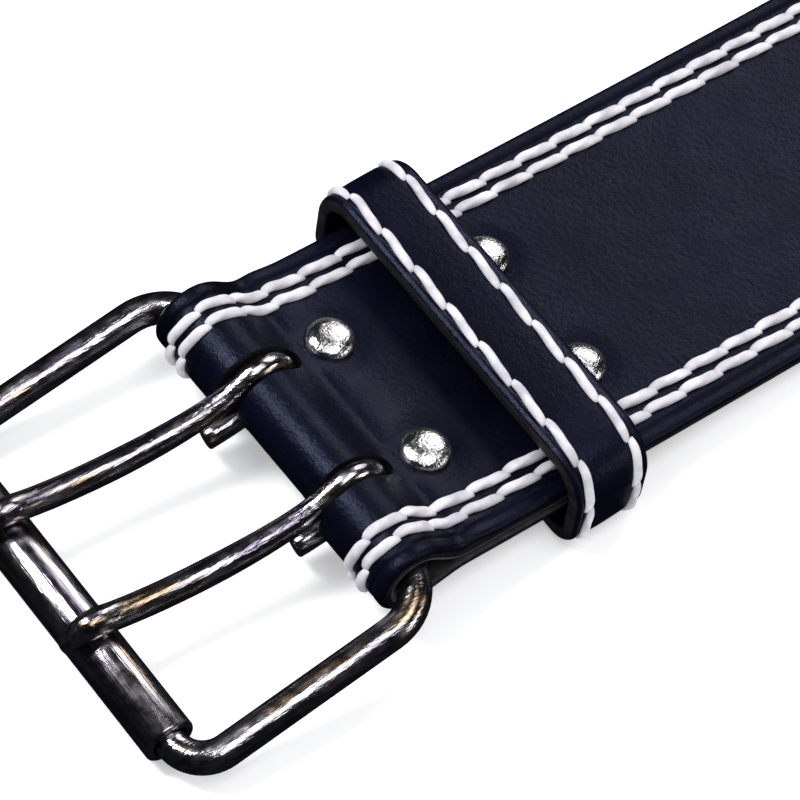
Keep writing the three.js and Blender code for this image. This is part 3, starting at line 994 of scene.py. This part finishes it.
def in_prong(along, side, above, y):
    """A point of a prong whose eye stands straight in its slot and whose shank leans to the far side."""
    past = max(0.0, along - LEAN_START)
    full_reach = FRAME_LENGTH - LEAN_START
    slope = FRAME_LENGTH * math.tan(PRONG_LEAN) * (full_reach + LEAN_SOFTNESS) / full_reach**2
    shift = slope * past**2 / (past + LEAN_SOFTNESS)
    turn = math.atan(slope * (1 - (LEAN_SOFTNESS / (past + LEAN_SOFTNESS)) ** 2))
    return in_buckle(
        along * math.cos(PRONG_LEAN) - side * math.sin(turn),
        y + shift + side * math.cos(turn),
        above,
    )


def build_prong(name, y):
    path, radii = prong_path()
    normals = left_normals(path)
    nose = list(rounded_start(path, normals, radii))
    path = [p for p, _, _ in nose] + path
    all_normals = [n for _, n, _ in nose] + normals
    all_radii = [r for _, _, r in nose] + radii
    end = path[-1], all_normals[-1]
    along = Vector((end[1].y, -end[1].x))
    path.append(end[0] + along * 0.25)
    all_normals.append(end[1])
    all_radii.append((PRONG_EYE_RADIUS - 0.25, PRONG_EYE_RADIUS - 0.25))
    rings = wire_rings(
        path, all_normals, all_radii, 24, lambda p, side: in_prong(p.x, side, p.y, y)
    )
    vertices, faces = loft([list(reversed(ring)) for ring in rings], False)
    return make_object(name, vertices, faces, [dark_plate], sharp=50)


ring = build_ring()
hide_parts("buckle_frame")
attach(ring, "buckle")

sleeve = build_roller()
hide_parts("roller")
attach(sleeve, "roller")

for name, node, body, side in (
    ("wire_prong_near", "prong_near", "near_prong", -1),
    ("wire_prong_far", "prong_far", "far_prong", 1),
):
    prong = build_prong(name, side * PRONG_Y)
    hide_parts(node)
    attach(prong, body)


# Rivets


def build_rivet(name, low, high):
    """A dome cap pressed into the leather over a shank and a flat base, leaning with the strap."""
    middle = (low + high) / 2
    x = middle.x
    tilt = Matrix.Rotation(math.atan(-slope_at(x)), 3, "Y")
    top = Vector((x, middle.y, face_at(x)))
    cap = 4.4
    base = 3.7
    layers = 2 * LEATHER + GAP
    profile = [
        (0.0, -layers - 1.5),
        (base - 0.6, -layers - 1.5),
        (base, -layers - 1.2),
        (base, -layers - 0.1),
        (1.6, -layers),
        (1.6, -0.3),
        (cap - 0.3, -0.32),
        (cap, -0.1),
        (cap, 0.3),
    ]
    for angle in steps(0, 90, 16)[1:]:
        a = math.radians(angle)
        profile.append((cap * math.cos(a) ** 0.85 if angle < 90 else 0.0, 0.3 + 1.9 * math.sin(a)))
    rings = []
    for radius, height in profile:
        ring = []
        for j in range(36):
            a = 2 * math.pi * j / 36
            spot = Vector((max(radius, 0.02) * math.cos(a), max(radius, 0.02) * math.sin(a), height))
            ring.append(top + tilt @ spot)
        rings.append(ring)
    vertices, faces = loft(rings, False)
    return make_object(name, vertices, faces, [bright_nickel], sharp=60)


for node, (low, high) in rivet_boxes.items():
    cap = build_rivet(node.replace("rivet", "dome_rivet"), low, high)
    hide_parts(node)
    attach(cap, "belt")


# Stage


def build_floor():
    material, shader = new_material("floor", (0.86, 0.86, 0.87), 0.8)
    vary_color(material, shader, add_noise(material, 3), ((0.85, 0.85, 0.86), (0.88, 0.88, 0.89)))
    shader.inputs["Emission Color"].default_value = (1, 1, 1, 1)
    shader.inputs["Emission Strength"].default_value = 0.35
    half = 6.0
    mesh = bpy.data.meshes.new("floor")
    corners = [(-half, -half), (half, -half), (half, half), (-half, half)]
    mesh.from_pydata([(x, y, -0.0006) for x, y in corners], [], [(0, 1, 2, 3)])
    mesh.materials.append(material)
    floor = bpy.data.objects.new("floor", mesh)
    bpy.context.scene.collection.objects.link(floor)
    floor.visible_glossy = False


def build_world():
    """Pale surroundings that gloss doesn't mirror, so that the metal shows the lamps against the dark."""
    world = bpy.data.worlds.new("studio")
    bpy.context.scene.world = world
    world.use_nodes = True
    tree = world.node_tree
    pale = tree.nodes["Background"]
    pale.inputs["Color"].default_value = (0.9, 0.92, 0.95, 1)
    pale.inputs["Strength"].default_value = 0.5
    dark = tree.nodes.new("ShaderNodeBackground")
    dark.inputs["Color"].default_value = (0.5, 0.55, 0.7, 1)
    dark.inputs["Strength"].default_value = 0.02
    path = tree.nodes.new("ShaderNodeLightPath")
    mix = tree.nodes.new("ShaderNodeMixShader")
    tree.links.new(path.outputs["Is Glossy Ray"], mix.inputs["Fac"])
    tree.links.new(pale.outputs["Background"], mix.inputs[1])
    tree.links.new(dark.outputs["Background"], mix.inputs[2])
    tree.links.new(mix.outputs["Shader"], tree.nodes["World Output"].inputs["Surface"])


def add_lamp(name, place, aim, size, power, color=(1, 1, 1)):
    lamp = bpy.data.lights.new(name, "AREA")
    lamp.shape = "RECTANGLE"
    lamp.size, lamp.size_y = size
    lamp.energy = power
    lamp.color = color
    obj = bpy.data.objects.new(name, lamp)
    bpy.context.scene.collection.objects.link(obj)
    obj.location = place
    obj.rotation_mode = "QUATERNION"
    obj.rotation_quaternion = (Vector(aim) - Vector(place)).to_track_quat("-Z", "Y")


buckle_spot = Vector((BAR.x, 0, 0))
add_lamp("overhead", buckle_spot + Vector((0.12, -0.35, 1.2)), buckle_spot, (0.8, 0.55), 5.5)
add_lamp("right", buckle_spot + Vector((1.4, 0.75, 1.2)), buckle_spot, (1.0, 1.0), 11)
add_lamp("far_left", buckle_spot + Vector((-0.4, 0.5, 0.98)), buckle_spot, (0.24, 0.4), 11, (0.95, 0.97, 1))
add_lamp("low_right", buckle_spot + Vector((0.9, -1.1, 0.5)), buckle_spot, (0.8, 0.25), 4, (1, 0.97, 0.92))
build_world()
build_floor()

# Camera, at the photograph's angle to the belt
VIEW_AZIMUTH = 39.68
VIEW_ELEVATION = 56.75
VIEW_ROLL = 3.94
VIEW_DISTANCE = 676.6
VIEW_TARGET = Vector((22.28, 3.08, 0))
PIXELS_PER_MM = 5.948
IMAGE_WIDTH = 800
SENSOR = 36.0


def build_camera():
    azimuth, elevation, roll = (
        math.radians(a) for a in (VIEW_AZIMUTH, VIEW_ELEVATION, VIEW_ROLL)
    )
    side = Vector((math.cos(azimuth), -math.sin(azimuth), 0))
    ahead = Vector((math.sin(azimuth), math.cos(azimuth), 0))
    level_up = ahead * math.sin(elevation) + Vector((0, 0, math.cos(elevation)))
    forward = ahead * math.cos(elevation) - Vector((0, 0, math.sin(elevation)))
    right = side * math.cos(roll) + level_up * math.sin(roll)
    up = level_up * math.cos(roll) - side * math.sin(roll)
    data = bpy.data.cameras.new("camera")
    data.sensor_width = SENSOR
    data.lens = SENSOR * PIXELS_PER_MM * VIEW_DISTANCE / IMAGE_WIDTH
    data.clip_start = 0.01
    camera = bpy.data.objects.new("camera", data)
    bpy.context.scene.collection.objects.link(camera)
    turn = Matrix((right, up, -forward)).transposed()
    camera.matrix_world = Matrix.Translation(to_row(VIEW_TARGET) - forward * VIEW_DISTANCE * MM) @ turn.to_4x4()
    bpy.context.scene.camera = camera


build_camera()
bpy.context.scene.view_settings.view_transform = "Standard"
